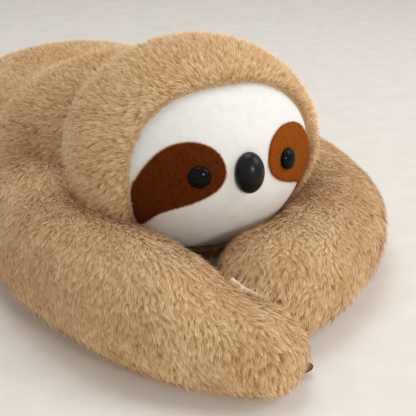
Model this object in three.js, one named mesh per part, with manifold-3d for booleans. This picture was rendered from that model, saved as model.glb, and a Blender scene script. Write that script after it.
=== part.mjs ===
// A weighted plush sloth that lies on its belly with both arms stretched out in front of its chin.
// Millimetres, +Z up. The face looks along -Y, and the toy's left side is +X.
// Fur is drawn at its outer envelope: backing cloth plus the pile standing on it.
import * as THREE from "three";
import { mergeVertices } from "three/addons/utils/BufferGeometryUtils.js";
import Module from "manifold-3d";

const wasm = await Module();
wasm.setup();

// Cloth and clearances
const BACKING = 3; // short plush, and the backing of the fur
const PILE = 6; // fur standing on its backing
const SEAT = 0.3; // between pieces that are sewn or stuffed against each other
const PRESSED = 8; // between the two paws, filled by the tips of both piles
const TURN = 0.8; // round a limb's root, and round the back of the head
const REST_CUT = 0.5; // taken off the underside of each form that lies on the ground

// Head: an egg on its side, deeper in front of its centre than behind it
const HEAD_HEIGHT = 137; // of its centre above the ground
const HEAD_HALF_WIDTH = 118.6;
const HEAD_FRONT = 110.6;
const HEAD_ROUND = 96; // radius of the back, round about the nodding axis, and half the height
const NOD = 12; // degrees each way

// Face panel, set into the hood along an oval seam
const FACE_HALF_WIDTH = 97;
const FACE_HALF_HEIGHT = 81;
const FACE_DROP = 4; // of the oval's centre below the head's
const FACE_SQUARENESS = 2.3;
const PATCH_THICKNESS = 1.5;
// The left eye patch from the head's centre, in shares of the face's half width: its inner edge,
// then two handles and an end for each curve, and the tail's two corners past the seam
const PATCH_START = [0.231, 0.124];
const PATCH_OVER = [0.231, 0.289, 0.351, 0.392, 0.515, 0.392];
const PATCH_DOWN = [0.742, 0.392, 0.907, 0.206, 1.01, -0.103];
const PATCH_TAIL = [1.155, -0.619, 0.876, -0.557];
const PATCH_BACK = [0.825, -0.309, 0.742, -0.258, 0.619, -0.206];
const PATCH_UNDER = [0.474, -0.144, 0.231, -0.062, 0.231, 0.124];

// Eyes, nose and what holds them behind the cloth
const EYE_SPREAD = 45.4; // from the middle of the face
const EYE_RISE = 9.2; // above the head's centre
const EYE_RADIUS = 10.2;
const EYE_DOME = 6.5;
const NOSE_RISE = 7.5;
const NOSE_HALF_WIDTH = 14.4;
const NOSE_HALF_HEIGHT = 19.4;
const NOSE_DOME = 14;
const RIM = 1.2; // straight edge under each dome
const SKIRT = 3; // below that, before the back is trimmed to the cloth
const REACH = 20; // of a hole through all the layers
const EYE_SHANK_RADIUS = 2.5;
const NOSE_SHANK_RADIUS = 3.5;
const SHANK_PROUD = 3; // of a shank behind its washer
const WASHER_THICKNESS = 1.6;
const WASHER_SET_BACK = 2; // behind the cloth's inner face, where its curve clears a flat disc
const EYE_WASHER_RADIUS = 8.5;
const NOSE_WASHER_RADIUS = 11;

// Body: girth at equal steps from the chest to the rump
const BODY_FRONT = 42; // behind the head's centre
const BODY_LENGTH = 436;
const BODY_HALF_WIDTHS = [122, 128, 150, 134, 147, 151, 142, 130];
const BODY_HEIGHTS = [172, 184, 190, 169, 151, 152, 147, 138];
const BODY_FRONT_CAP = 92;
const BODY_REAR_CAP = 125;
const BODY_SQUARENESS = 2.15;
const BODY_BASE_SQUARENESS = 3.2; // flatter underneath, where the weight spreads it
const SIDE_SEAM_HEIGHT = 58;

// Bead pouches lying on the belly cloth
const POUCH_NAMES = ["chest", "middle", "rump"];
const POUCH_HALF_WIDTH = 74;
const POUCH_HALF_LENGTH = 46;
const POUCH_HALF_HEIGHT = 17;
const POUCH_FIRST = 98; // from the front of the body
const POUCH_STEP = 104;
const POUCH_SQUARENESS = 3;

// Limbs: a root ball that turns in the body, and a stuffed tube that lies along the ground
const LIMB_WIDTH = 1.1; // half width over girth radius
const LIMB_HEIGHT = 0.95; // half height over girth radius
const LIMB_SQUARENESS = 2.1;
const LIMB_BASE_SQUARENESS = 2.5;
const ROOT_CAP = 14;
const ROOT_INSET = 1.5; // of the ball's side inside the tube's
const ARM_SWING = [20, 40]; // degrees outwards, by steps up to the limit
const LEG_SWING = [-15, -7, 7, 15];
const SHOULDER = [132, 158]; // out from the middle, and behind the head's centre
const HIP = [106, 398];
const ARM_RIGHT = {
  route: [SHOULDER, [141, 72], [142, -11], [121, -92], [96, -158], [63, -204], [17, -241]],
  girths: [52, 58, 53, 55, 56, 53, 41, 35],
  cap: 40,
  swing: ARM_SWING,
  curl: 50, // degrees that the claws turn inwards
};
const ARM_LEFT = {
  route: [SHOULDER, [160, 96], [167, 30], [153, -35], [110, -89], [55, -127], [6, -146], [-46, -155]],
  girths: [50, 53, 50, 48, 49, 50, 51, 48],
  cap: 52,
  swing: ARM_SWING,
  curl: 58,
};
const LEG = {
  route: [HIP, [134, 436], [160, 476], [178, 520], [188, 560]],
  girths: [46, 48, 49, 48, 45],
  cap: 50,
  swing: LEG_SWING,
  curl: 0,
};

// Claws: soft tapered tabs under the end of each paw
const CLAW_LENGTH = 25;
const CLAW_ROOT_RADIUS = 5.5;
const CLAW_TIP_RADIUS = 4;
const CLAW_HEIGHT = 9;
const CLAW_FAN = [-25, 0, 25]; // degrees either side of the middle claw
const CLAW_REACH = 8; // of the tips past the fur
const CLAW_SQUARENESS = 2;

// Blank satin tab sewn into the inner seam of the right arm
const TAB_LENGTH = 40;
const TAB_DEPTH = 6;
const TAB_THICKNESS = 0.8;
const TAB_ALONG = 0.85; // share of the arm's route
const TAB_ROLL = 38; // degrees up the arm's inner side

// Facets
const HEAD_AROUND = 32;
const HEAD_ALONG = 12;
const BODY_AROUND = 24;
const BODY_ALONG = 16;
const LIMB_AROUND = 16;
const LIMB_ALONG = 16;
const BALL_AROUND = 20;
const BALL_ALONG = 6;
const CLAW_AROUND = 10;
const CLAW_ALONG = 7;
const FACE_STEPS = 44;
const CURVE_STEPS = 10;
const POUCH_AROUND = 16;
const POUCH_ALONG = 6;
const DOME_AROUND = 24;
const DOME_STEPS = 6;
const SHANK_AROUND = 10;
const WASHER_AROUND = 18;
const END_CROWDING = 0.8; // of a form's rings towards its ends, from none at 0 to a ball's at 1
const FAR = 900; // past every piece

// Colours
const fur = { color: 0xc6a27c, roughness: 0.95, metalness: 0 };
const whitePlush = { color: 0xf1efec, roughness: 0.9, metalness: 0 };
const brownPlush = { color: 0x7c3a12, roughness: 0.9, metalness: 0 };
const blackGloss = { color: 0x0b0b0d, roughness: 0.12, metalness: 0 };
const blackSatin = { color: 0x1d191b, roughness: 0.38, metalness: 0 };
const fibre = { color: 0xf4f2ee, roughness: 1, metalness: 0 };
const pouchCloth = { color: 0xd9d4c8, roughness: 0.9, metalness: 0 };
const clearPlastic = { color: 0xe2e2dc, roughness: 0.4, metalness: 0 };
const satin = { color: 0xf3ecea, roughness: 0.5, metalness: 0 };

// Geometry helpers

function solid(geometry) {
  const bare = geometry.index ? geometry.toNonIndexed() : geometry.clone();
  bare.deleteAttribute("normal");
  bare.deleteAttribute("uv");
  const merged = mergeVertices(bare, 1e-4);
  const made = new wasm.Manifold(
    new wasm.Mesh({
      numProp: 3,
      vertProperties: merged.attributes.position.array,
      triVerts: new Uint32Array(merged.index.array),
    }),
  );
  return made;
}

function pieceOf(name, shape, look) {
  const mesh = shape.getMesh();
  const geometry = new THREE.BufferGeometry();
  const at = new Float32Array(mesh.numVert * 3);
  for (let i = 0; i < mesh.numVert; i++) {
    at.set(mesh.vertProperties.subarray(i * mesh.numProp, i * mesh.numProp + 3), i * 3);
  }
  geometry.setAttribute("position", new THREE.BufferAttribute(at, 3));
  geometry.setIndex(new THREE.BufferAttribute(new Uint32Array(mesh.triVerts), 1));
  geometry.computeVertexNormals();
  const piece = new THREE.Mesh(geometry, new THREE.MeshStandardMaterial(look));
  piece.name = name;
  return piece;
}

// Moves each vertex of a geometry to the place that a function gives for it.
function reshape(geometry, place) {
  const at = geometry.attributes.position;
  const from = new THREE.Vector3();
  for (let i = 0; i < at.count; i++) {
    const to = place(from.fromBufferAttribute(at, i));
    at.setXYZ(i, to.x, to.y, to.z);
  }
  return geometry;
}

function superPower(value, squareness) {
  return Math.sign(value) * Math.pow(Math.abs(value), 2 / squareness);
}

// A smooth curve through values at equal steps, read at a share of the whole.
function swell(values, share) {
  const points = values.map((v, i) => new THREE.Vector3(i, v, 0));
  return new THREE.CatmullRomCurve3(points).getPoint(share).y;
}

// How far a rounded end has opened, from 0 at its tip to 1 past its cap.
function roundEnd(distance, cap) {
  const left = Math.max(0, 1 - distance / cap);
  return Math.sqrt(Math.max(0, 1 - left * left));
}

// A stuffed form lying on the ground: a ball drawn out along a route, each ring with its own
// half width and half height, round on top and flatter below.
function stuffed(route, around, along, ring, squareness, baseSquareness) {
  const length = route.getLength();
  const ball = new THREE.SphereGeometry(1, around, along);
  return solid(
    reshape(ball, (p) => {
      const share = THREE.MathUtils.lerp(Math.acos(p.y) / Math.PI, (1 - p.y) / 2, END_CROWDING);
      const sine = Math.hypot(p.x, p.z);
      const at = route.getPointAt(share);
      const ahead = route.getTangentAt(share);
      const { halfWidth, halfHeight, middle } = ring(share, share * length, length);
      const across = sine > 1e-6 ? p.x / sine : 0;
      const rise = sine > 1e-6 ? p.z / sine : 0;
      const open = sine > 1e-6 ? 1 : 0;
      const square = rise < 0 ? baseSquareness : squareness;
      const out = open * halfWidth * superPower(across, square);
      const up = open * halfHeight * superPower(rise, square);
      return new THREE.Vector3(at.x - out * ahead.y, at.y + out * ahead.x, middle + up - REST_CUT);
    }),
  );
}

// Everything above the ground.
function onGround(shape) {
  const below = new THREE.BoxGeometry(2 * FAR, 2 * FAR, FAR).translate(0, 0, -FAR / 2);
  return shape.subtract(solid(below));
}

function slab(lowest, highest) {
  const box = new THREE.BoxGeometry(2 * FAR, 2 * FAR, highest - lowest);
  return solid(box.translate(0, 0, (lowest + highest) / 2));
}

// A flat outline in X and Z, pushed forward through the face.
function throughFace(shape) {
  const depth = 2 * HEAD_FRONT;
  const options = { depth, bevelEnabled: false, curveSegments: CURVE_STEPS };
  const cut = new THREE.ExtrudeGeometry(shape, options);
  return solid(cut.rotateX(Math.PI / 2).translate(0, 0, HEAD_HEIGHT));
}

// Head

// Round about the X axis behind its centre, so that it nods in its socket without opening a gap.
function headForm(grow) {
  const ball = new THREE.SphereGeometry(1, HEAD_AROUND, HEAD_ALONG).rotateZ(Math.PI / 2);
  return solid(
    reshape(ball, (p) => {
      const depth = p.y < 0 ? HEAD_FRONT : HEAD_ROUND;
      return new THREE.Vector3(
        p.x * (HEAD_HALF_WIDTH + grow),
        p.y * (depth + grow),
        p.z * (HEAD_ROUND + grow) + HEAD_HEIGHT,
      );
    }),
  );
}

// The room that the head's front passes through as it nods.
function headSweep(grow) {
  const limit = THREE.MathUtils.degToRad(NOD);
  const front = HEAD_FRONT + grow;
  const round = HEAD_ROUND + grow;
  const ball = new THREE.SphereGeometry(1, HEAD_AROUND, HEAD_ALONG).rotateZ(Math.PI / 2);
  return solid(
    reshape(ball, (p) => {
      const fromFront = Math.max(0, Math.atan2(Math.abs(p.z), -p.y) - limit);
      const ahead = Math.max(0, Math.cos(fromFront));
      const radius = 1 / Math.hypot(ahead / front, Math.sqrt(1 - ahead * ahead) / round);
      const scaled = p.clone().multiplyScalar(radius);
      return scaled.setX(p.x * (HEAD_HALF_WIDTH + grow)).setZ(scaled.z + HEAD_HEIGHT);
    }),
  );
}

function faceOutline(grow) {
  const points = [];
  for (let i = 0; i < FACE_STEPS; i++) {
    const turn = (i / FACE_STEPS) * 2 * Math.PI;
    const x = (FACE_HALF_WIDTH + grow) * superPower(Math.cos(turn), FACE_SQUARENESS);
    const z = (FACE_HALF_HEIGHT + grow) * superPower(Math.sin(turn), FACE_SQUARENESS);
    points.push(new THREE.Vector2(x, z - FACE_DROP));
  }
  return new THREE.Shape(points);
}

// The left eye patch: round about the eye, with a tail that runs down and out into the seam.
function patchOutline() {
  const sized = (shares) => shares.map((share) => share * FACE_HALF_WIDTH);
  const tail = sized(PATCH_TAIL);
  const outline = new THREE.Shape();
  outline.moveTo(...sized(PATCH_START));
  outline.bezierCurveTo(...sized(PATCH_OVER));
  outline.bezierCurveTo(...sized(PATCH_DOWN));
  outline.lineTo(tail[0], tail[1]);
  outline.lineTo(tail[2], tail[3]);
  outline.bezierCurveTo(...sized(PATCH_BACK));
  outline.bezierCurveTo(...sized(PATCH_UNDER));
  return outline;
}

function mirrored(shape) {
  const points = shape.getPoints(CURVE_STEPS).map((p) => new THREE.Vector2(-p.x, p.y));
  return new THREE.Shape(points.reverse());
}

// A point on the head's front at a spot of the face, and the way out of the cloth there.
function onFace(x, rise, grow) {
  const width = HEAD_HALF_WIDTH + grow;
  const depth = HEAD_FRONT + grow;
  const height = HEAD_ROUND + grow;
  const y = -depth * Math.sqrt(1 - (x / width) ** 2 - (rise / height) ** 2);
  const out = new THREE.Vector3(x / width ** 2, y / depth ** 2, rise / height ** 2).normalize();
  return { at: new THREE.Vector3(x, y, rise + HEAD_HEIGHT), out };
}

// Turns a geometry made along +Y to stand on the face, with its foot at a height off that place.
function standOn(geometry, { at, out }, height) {
  const turn = new THREE.Quaternion().setFromUnitVectors(new THREE.Vector3(0, 1, 0), out);
  geometry.applyQuaternion(turn);
  return geometry.translate(...at.clone().addScaledVector(out, height).toArray());
}

// A domed button, its profile turned about +Y, with a skirt below 0 to be trimmed to the cloth.
function dome(radius, height) {
  const arc = new THREE.EllipseCurve(0, RIM, radius, height - RIM, 0, Math.PI / 2);
  const foot = [new THREE.Vector2(0, -SKIRT), new THREE.Vector2(radius, -SKIRT)];
  return new THREE.LatheGeometry([...foot, ...arc.getPoints(DOME_STEPS)], DOME_AROUND);
}

function rod(radius, length, sides) {
  return new THREE.CylinderGeometry(radius, radius, length, sides).translate(0, -length / 2, 0);
}

// An eye or a nose: the dome outside, its shank through the cloth, and a washer pushed on behind.
// Returns the two pieces and the holes that they need in the cloth and the filling.
function fastened(name, spot, button, layers, shankRadius, washerRadius, look) {
  const outside = layers + SEAT;
  const inside = -BACKING - WASHER_SET_BACK;
  const overlap = RIM / 2;
  const shankLength = outside - inside + WASHER_THICKNESS + SHANK_PROUD;
  const shank = rod(shankRadius, shankLength + overlap, SHANK_AROUND);
  const trimmed = solid(standOn(button, spot, outside)).subtract(headForm(outside));
  const whole = trimmed.add(solid(standOn(shank, spot, outside + overlap)));
  const disc = rod(washerRadius, WASHER_THICKNESS, WASHER_AROUND);
  const ring = solid(standOn(disc, spot, inside));
  const hole = solid(standOn(rod(shankRadius + SEAT, 2 * REACH, SHANK_AROUND), spot, REACH));
  const pocket = rod(washerRadius + SEAT, REACH + WASHER_THICKNESS + SEAT, WASHER_AROUND);
  const well = rod(shankRadius + SEAT, shankLength + SEAT, SHANK_AROUND);
  const hollow = solid(standOn(pocket, spot, inside + REACH));
  return {
    pieces: [
      pieceOf(name, whole, look),
      pieceOf(name + "_washer", ring.subtract(hole), clearPlastic),
    ],
    hole,
    hollow: hollow.add(solid(standOn(well, spot, outside))),
  };
}

function makeHead() {
  const face = throughFace(faceOutline(0));
  const opening = throughFace(faceOutline(SEAT));
  const patchArea = throughFace(faceOutline(-SEAT));
  const cloth = headForm(0);
  const inner = headForm(-BACKING);
  const sides = { left: 1, right: -1 };
  const buttons = [];
  const eyeLayers = SEAT + PATCH_THICKNESS;
  for (const [side, way] of Object.entries(sides)) {
    const spot = onFace(way * EYE_SPREAD, EYE_RISE, 0);
    const button = dome(EYE_RADIUS, EYE_DOME);
    buttons.push(
      fastened(
        "eye_" + side, spot, button, eyeLayers, EYE_SHANK_RADIUS, EYE_WASHER_RADIUS, blackGloss,
      ),
    );
  }
  const noseShape = dome(NOSE_HALF_HEIGHT, NOSE_DOME).scale(NOSE_HALF_WIDTH / NOSE_HALF_HEIGHT, 1, 1);
  const noseSpot = onFace(0, NOSE_RISE, 0);
  buttons.push(
    fastened("nose", noseSpot, noseShape, 0, NOSE_SHANK_RADIUS, NOSE_WASHER_RADIUS, blackSatin),
  );

  let panel = cloth.subtract(inner).intersect(face);
  let filling = headForm(-BACKING - SEAT);
  const patchCloth = headForm(SEAT + PATCH_THICKNESS).subtract(headForm(SEAT)).intersect(patchArea);
  const patches = { left: patchOutline(), right: mirrored(patchOutline()) };
  const pieces = [];
  for (const button of buttons) {
    panel = panel.subtract(button.hole);
    filling = filling.subtract(button.hollow);
    pieces.push(...button.pieces);
  }
  for (const [side, outline] of Object.entries(patches)) {
    let patch = patchCloth.intersect(throughFace(outline));
    for (const button of buttons) patch = patch.subtract(button.hole);
    pieces.push(pieceOf("eye_patch_" + side, patch, brownPlush));
  }
  const hood = headForm(PILE).subtract(inner).subtract(opening);
  pieces.push(pieceOf("head_hood", hood, fur));
  pieces.push(pieceOf("face_panel", panel, whitePlush));
  pieces.push(pieceOf("head_filling", filling, fibre));
  return pieces;
}

// Body

function bodyForm(grow) {
  const start = new THREE.Vector3(0, BODY_FRONT - grow, 0);
  const end = new THREE.Vector3(0, BODY_FRONT + BODY_LENGTH + grow, 0);
  const ring = (share, distance, length) => {
    const opened =
      roundEnd(distance, BODY_FRONT_CAP) * roundEnd(length - distance, BODY_REAR_CAP);
    const tall = swell(BODY_HEIGHTS, share) / 2;
    return {
      halfWidth: (swell(BODY_HALF_WIDTHS, share) + grow) * opened,
      halfHeight: (tall + grow) * opened,
      middle: tall,
    };
  };
  const route = new THREE.LineCurve3(start, end);
  return stuffed(route, BODY_AROUND, BODY_ALONG, ring, BODY_SQUARENESS, BODY_BASE_SQUARENESS);
}

// A pillow of beads in its pocket, with its corners rounded off.
function pouchForm(index, grow) {
  const ball = new THREE.SphereGeometry(1, POUCH_AROUND, POUCH_ALONG).rotateX(Math.PI / 2);
  return solid(
    reshape(ball, (p) => {
      const flat = Math.hypot(p.x, p.y);
      const across = flat > 1e-6 ? superPower(p.x / flat, POUCH_SQUARENESS) : 0;
      const along = flat > 1e-6 ? superPower(p.y / flat, POUCH_SQUARENESS) : 0;
      return new THREE.Vector3(
        (POUCH_HALF_WIDTH + grow) * flat * across,
        BODY_FRONT + POUCH_FIRST + index * POUCH_STEP + (POUCH_HALF_LENGTH + grow) * flat * along,
        BACKING + PILE + POUCH_HALF_HEIGHT / 2 + (POUCH_HALF_HEIGHT + grow) * p.z,
      );
    }),
  );
}

function makeBody(sockets) {
  const wall = BACKING + PILE;
  const shell = onGround(bodyForm(0)).subtract(bodyForm(-wall)).subtract(sockets);
  const upper = shell.intersect(slab(SIDE_SEAM_HEIGHT, FAR));
  const lower = shell.intersect(slab(-FAR, SIDE_SEAM_HEIGHT - SEAT));
  const inside = bodyForm(-wall - SEAT);
  let filling = inside.subtract(sockets);
  const pieces = [pieceOf("back_panel", upper, fur), pieceOf("belly_panel", lower, fur)];
  POUCH_NAMES.forEach((name, index) => {
    pieces.push(
      pieceOf("weight_pouch_" + name, pouchForm(index, 0).intersect(inside), pouchCloth),
    );
    filling = filling.subtract(pouchForm(index, SEAT));
  });
  pieces.push(pieceOf("body_filling", filling, fibre));
  return pieces;
}

// Limbs

function routeOf(points, side) {
  return new THREE.CatmullRomCurve3(points.map(([x, y]) => new THREE.Vector3(side * x, y, 0)));
}

function rootBall({ route, girths }, side, grow) {
  const [x, y] = route[0];
  const radius = LIMB_WIDTH * girths[0] - ROOT_INSET;
  const halfHeight = LIMB_HEIGHT * girths[0] - ROOT_INSET;
  const ball = new THREE.SphereGeometry(1, BALL_AROUND, BALL_ALONG).rotateX(Math.PI / 2);
  ball.scale(radius + grow, radius + grow, halfHeight + grow);
  return solid(ball.translate(side * x, y, halfHeight - REST_CUT));
}

function limbForm({ route, girths, cap }, side, grow) {
  const ring = (share, distance, length) => {
    const opened = roundEnd(distance, ROOT_CAP) * roundEnd(length - distance, cap);
    const girth = swell(girths, share);
    return {
      halfWidth: (LIMB_WIDTH * girth + grow) * opened,
      halfHeight: (LIMB_HEIGHT * girth + grow) * opened,
      middle: LIMB_HEIGHT * girth,
    };
  };
  const path = routeOf(route, side);
  return stuffed(path, LIMB_AROUND, LIMB_ALONG, ring, LIMB_SQUARENESS, LIMB_BASE_SQUARENESS);
}

// Claws fan out from under the paw, near the ground.
function makeClaws(name, limb, side, paw) {
  const path = routeOf(limb.route, side);
  const centre = path.getPointAt(1 - limb.cap / path.getLength());
  const ahead = path.getTangentAt(1);
  const tipAt = LIMB_WIDTH * limb.girths.at(-1) + CLAW_REACH;
  const ring = (share, distance, length) => {
    const radius = THREE.MathUtils.lerp(CLAW_ROOT_RADIUS, CLAW_TIP_RADIUS, share);
    const opened = roundEnd(distance, radius) * roundEnd(length - distance, 2 * radius);
    return { halfWidth: radius * opened, halfHeight: radius * opened, middle: CLAW_HEIGHT };
  };
  return CLAW_FAN.map((fan, index) => {
    const turn = THREE.MathUtils.degToRad(fan - side * limb.curl);
    const way = ahead.clone().applyAxisAngle(new THREE.Vector3(0, 0, 1), turn);
    const line = new THREE.LineCurve3(
      centre.clone().addScaledVector(way, tipAt - CLAW_LENGTH),
      centre.clone().addScaledVector(way, tipAt),
    );
    const claw = stuffed(line, CLAW_AROUND, CLAW_ALONG, ring, CLAW_SQUARENESS, CLAW_SQUARENESS);
    return pieceOf(name + "_claw_" + (index + 1), claw.subtract(paw), brownPlush);
  });
}

// All that the body passes through, as seen from the limb, while the limb swings.
function bodySweep({ route, swing }, side) {
  const [x, y] = route[0];
  const body = bodyForm(TURN).translate([-side * x, -y, 0]);
  const turns = swing.map((angle) => body.rotate([0, 0, -side * angle]));
  return turns.reduce((all, turned) => all.add(turned), body).translate([side * x, y, 0]);
}

function makeLimb(name, limb, side) {
  let keepOff = bodySweep(limb, side).add(headSweep(PILE + TURN));
  if (limb === ARM_LEFT) keepOff = keepOff.add(limbForm(ARM_RIGHT, -1, PRESSED));
  const tube = limbForm(limb, side, 0).subtract(keepOff);
  const form = onGround(tube.add(rootBall(limb, side, 0)));
  const paw = limbForm(limb, side, SEAT);
  return [pieceOf(name, form, fur), ...makeClaws(name, limb, side, paw)];
}

// A thin blank tab that stands out of the arm's inner seam, and lies along it.
function makeTab(limb, side) {
  const path = routeOf(limb.route, side);
  const at = path.getPointAt(TAB_ALONG);
  const ahead = path.getTangentAt(TAB_ALONG);
  const inward = new THREE.Vector3(side * ahead.y, -side * ahead.x, 0);
  const girth = swell(limb.girths, TAB_ALONG);
  const roll = THREE.MathUtils.degToRad(TAB_ROLL);
  const up = new THREE.Vector3(0, 0, 1);
  const out = inward.clone().multiplyScalar(Math.cos(roll)).addScaledVector(up, Math.sin(roll));
  const skin = new THREE.Vector3(at.x, at.y, LIMB_HEIGHT * girth - REST_CUT)
    .addScaledVector(inward, LIMB_WIDTH * girth * Math.cos(roll))
    .addScaledVector(up, LIMB_HEIGHT * girth * Math.sin(roll));
  const across = new THREE.Vector3().crossVectors(ahead, out);
  const frame = new THREE.Matrix4().makeBasis(ahead, out, across);
  const plate = new THREE.BoxGeometry(TAB_LENGTH, 2 * TAB_DEPTH, TAB_THICKNESS);
  plate.applyMatrix4(frame).translate(skin.x, skin.y, skin.z);
  return solid(plate).subtract(limbForm(limb, side, SEAT));
}

// Assembly

const toy = new THREE.Group();
const headSocket = headForm(PILE + TURN);
const limbs = [
  ["arm_right", ARM_RIGHT, -1],
  ["arm_left", ARM_LEFT, 1],
  ["leg_right", LEG, -1],
  ["leg_left", LEG, 1],
];
const balls = limbs.map(([, limb, side]) => rootBall(limb, side, TURN));
const sockets = balls.reduce((all, ball) => all.add(ball), headSocket);
toy.add(...makeHead(), ...makeBody(sockets));
for (const [name, limb, side] of limbs) toy.add(...makeLimb(name, limb, side));
toy.add(pieceOf("side_tab", makeTab(ARM_RIGHT, -1), satin));

// The origin is on the ground, under the middle of the whole toy.
const whole = new THREE.Box3().setFromObject(toy);
const middle = whole.getCenter(new THREE.Vector3());
toy.position.set(-middle.x, -middle.y, 0);

export default toy;
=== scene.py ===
"""The looks of the weighted plush sloth: fur, short plush, buttons, claws, tab, light and camera.

Forms repeat part.mjs in millimetres in the fit frame, whose origin is on the ground under the
head's centre, and go to the row frame as meshes are made.
"""

import math
import bmesh
import bpy
import numpy as np
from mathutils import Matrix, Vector
from mathutils.geometry import delaunay_2d_cdt


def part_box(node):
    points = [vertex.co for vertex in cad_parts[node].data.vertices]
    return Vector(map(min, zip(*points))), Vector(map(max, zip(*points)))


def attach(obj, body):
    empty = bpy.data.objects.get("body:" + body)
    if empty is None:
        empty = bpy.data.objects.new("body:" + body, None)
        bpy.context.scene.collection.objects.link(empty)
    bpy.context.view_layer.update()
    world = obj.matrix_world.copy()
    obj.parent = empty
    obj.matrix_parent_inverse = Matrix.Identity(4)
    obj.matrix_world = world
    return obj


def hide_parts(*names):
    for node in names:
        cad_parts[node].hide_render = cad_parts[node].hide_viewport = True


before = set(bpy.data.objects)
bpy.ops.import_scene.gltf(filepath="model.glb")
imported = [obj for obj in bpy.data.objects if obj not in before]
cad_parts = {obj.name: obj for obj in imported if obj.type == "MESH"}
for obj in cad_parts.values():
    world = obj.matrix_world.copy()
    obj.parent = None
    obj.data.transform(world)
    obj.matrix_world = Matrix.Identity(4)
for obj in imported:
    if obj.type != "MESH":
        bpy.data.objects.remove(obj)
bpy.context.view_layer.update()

# ---- sizes, as part.mjs

BACKING, PILE, SEAT, REST_CUT = 3, 6, 0.3, 0.5
HEAD_HEIGHT, HEAD_HALF_WIDTH, HEAD_FRONT, HEAD_ROUND = 137, 118.6, 110.6, 96
FACE_HALF_WIDTH, FACE_HALF_HEIGHT, FACE_DROP, FACE_SQUARENESS = 97, 81, 4, 2.3
PATCH_THICKNESS = 1.5
EYE_SPREAD, EYE_RISE, EYE_RADIUS, EYE_DOME = 45.4, 9.2, 10.2, 6.5
NOSE_RISE, NOSE_HALF_WIDTH, NOSE_HALF_HEIGHT, NOSE_DOME = 7.5, 14.4, 19.4, 14
RIM, SKIRT = 1.2, 3
BODY_FRONT, BODY_LENGTH = 42, 436
BODY_HALF_WIDTHS = [122, 128, 150, 134, 147, 151, 142, 130]
BODY_HEIGHTS = [172, 184, 190, 169, 151, 152, 147, 138]
BODY_CAPS = (92, 125)
BODY_SQUARENESS, BODY_BASE_SQUARENESS = 2.15, 3.2
SIDE_SEAM_HEIGHT = 58
LIMB_WIDTH, LIMB_HEIGHT = 1.1, 0.95
LIMB_SQUARENESS, LIMB_BASE_SQUARENESS = 2.1, 2.5
ROOT_CAP, ROOT_INSET = 14, 1.5
SHOULDER, HIP = (132, 158), (106, 398)
ARM_RIGHT = dict(
    route=[SHOULDER, (141, 72), (142, -11), (121, -92), (96, -158), (63, -204), (17, -241)],
    girths=[52, 58, 53, 55, 56, 53, 41, 35], cap=40, curl=50)
ARM_LEFT = dict(
    route=[SHOULDER, (160, 96), (167, 30), (153, -35), (110, -89), (55, -127), (6, -146),
           (-46, -155)],
    girths=[50, 53, 50, 48, 49, 50, 51, 48], cap=52, curl=58)
LEG = dict(
    route=[HIP, (134, 436), (160, 476), (178, 520), (188, 560)],
    girths=[46, 48, 49, 48, 45], cap=50, curl=0)
CLAW_LENGTH, CLAW_ROOT_RADIUS, CLAW_TIP_RADIUS, CLAW_HEIGHT = 25, 5.5, 4, 9
CLAW_FAN, CLAW_REACH = (-25, 0, 25), 8
TAB_LENGTH, TAB_DEPTH, TAB_ALONG, TAB_ROLL = 40, 6, 0.85, 38
ARM_SWING, LEG_SWING = 40, 15  # degrees, as the joints' ranges

MM = 0.001
HEAD_CENTRE = np.array([0.0, 0.0, HEAD_HEIGHT])
CHIN_FILL = np.array([0, -2.0, -6.0])  # how far the stuffing pushes the chin out
SHIFT_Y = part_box("head_hood")[1].y / MM - (HEAD_ROUND + PILE)
DOWN = np.array([0, 0, -1.0])

# ---- sizes of the cloth only

INSET = 5.0  # of each fur piece's backing inside the CAD's envelope
HOOD_INSET, CHIN_INSET = 2.2, 5.0
SEAM_DEPTH = 2.2  # of the face's seam, on both sides of it
PATCH_INSET = 0.6  # of the patches' edge inside the seam
FORM_CLEAR, SKIN_CLEAR, STRAND_CLEAR = 6.8, 4.8, 2.4  # of a limb's fur from the head's form
BODY_STRAND_CLEAR, HOOD_STRAND_CLEAR = 3.5, 0.8  # from the head's form too
PAW_GAP = 4.0  # between the two paws' backings' envelopes
ARM_SPACING, LEG_SPACING, BODY_SPACING, HOOD_SPACING = 3.05, 3.7, 3.25, 2.9  # of the tufts
MOST_STRANDS = 96000  # in one object, which the export keeps whole
FLOOR_GAP = 0.7  # between the strands and the ground
CLAW_FULLER = 0.8  # of the claws' plush over their CAD form
TAB_BEND = 0.85  # radians that the tape bends over in its depth
END_CROWDING = 0.8  # of a tube's rows towards its two ends
TUFT_NOISE, STRAND_NOISE = 0.22, 0.2  # in the fur's tone

# ---- curves and noise


def unit(v):
    return v / np.maximum(np.linalg.norm(v, axis=-1, keepdims=True), 1e-9)


def spline(points, t):
    """The smooth centripetal curve of part.mjs through points, read at shares t of its spans."""
    p = np.asarray(points, float)
    p = np.vstack([2 * p[0] - p[1], p, 2 * p[-1] - p[-2]])
    t = np.clip(t, 0, 1) * (len(points) - 1)
    span = np.minimum(t.astype(int), len(points) - 2)
    w = (t - span)[:, None]
    a, b, c, d = p[span], p[span + 1], p[span + 2], p[span + 3]
    gap = lambda m, n: np.sqrt(np.linalg.norm(n - m, axis=1, keepdims=True))
    ab, bc, cd = gap(a, b), gap(b, c), gap(c, d)
    leave = ((b - a) / ab - (c - a) / (ab + bc) + (c - b) / bc) * bc
    reach = ((c - b) / bc - (d - b) / (bc + cd) + (d - c) / cd) * bc
    return (b + leave * w + (3 * (c - b) - 2 * leave - reach) * w**2
            + (2 * (b - c) + leave + reach) * w**3)


def swell(values, share):
    share = np.asarray(share, float)
    points = np.stack([np.arange(len(values)), values], 1)
    return spline(points, share.ravel())[:, 1].reshape(share.shape)


def round_end(distance, cap):
    left = np.clip(1 - distance / cap, 0, 1)
    return np.sqrt(1 - left**2)


def super_power(value, squareness):
    return np.sign(value) * np.abs(value) ** (2 / squareness)


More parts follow.
